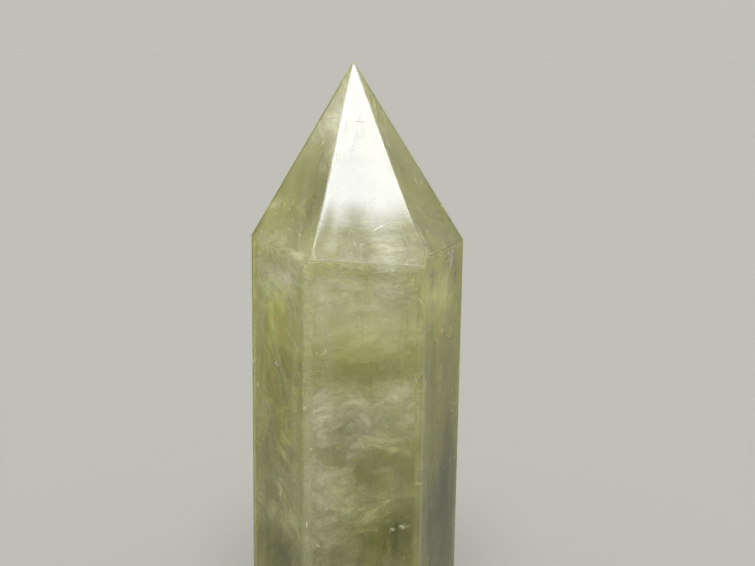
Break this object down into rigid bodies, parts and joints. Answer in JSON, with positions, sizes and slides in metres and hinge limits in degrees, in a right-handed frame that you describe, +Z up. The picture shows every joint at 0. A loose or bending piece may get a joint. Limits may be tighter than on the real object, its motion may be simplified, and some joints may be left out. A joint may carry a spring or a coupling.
{
  "type": "citrine crystal point",
  "caption": "Polished see-through olive-yellow quartz crystal point: a six-sided prism under a six-sided pyramid, sawn flat at the foot so that it stands upright.",
  "frame": {"origin": "middle of the sawn foot, on the surface that the point stands on: the centre of the bounding box in X and Y, at its lowest height", "axes": "+Z up along the prism to the point, -Y to the front, with the front face about 5 degrees off square to it, and +X to the right seen from the front"},
  "size_m": [0.0596, 0.0542, 0.1715],
  "materials": {
    "citrine": "polished clear to milky quartz, olive yellow, see-through by transmission with an index of refraction of 1.544 and colour from absorption"
  },
  "bodies": {
    "root": {"citrine_point": "citrine"}
  },
  "joints": []
}
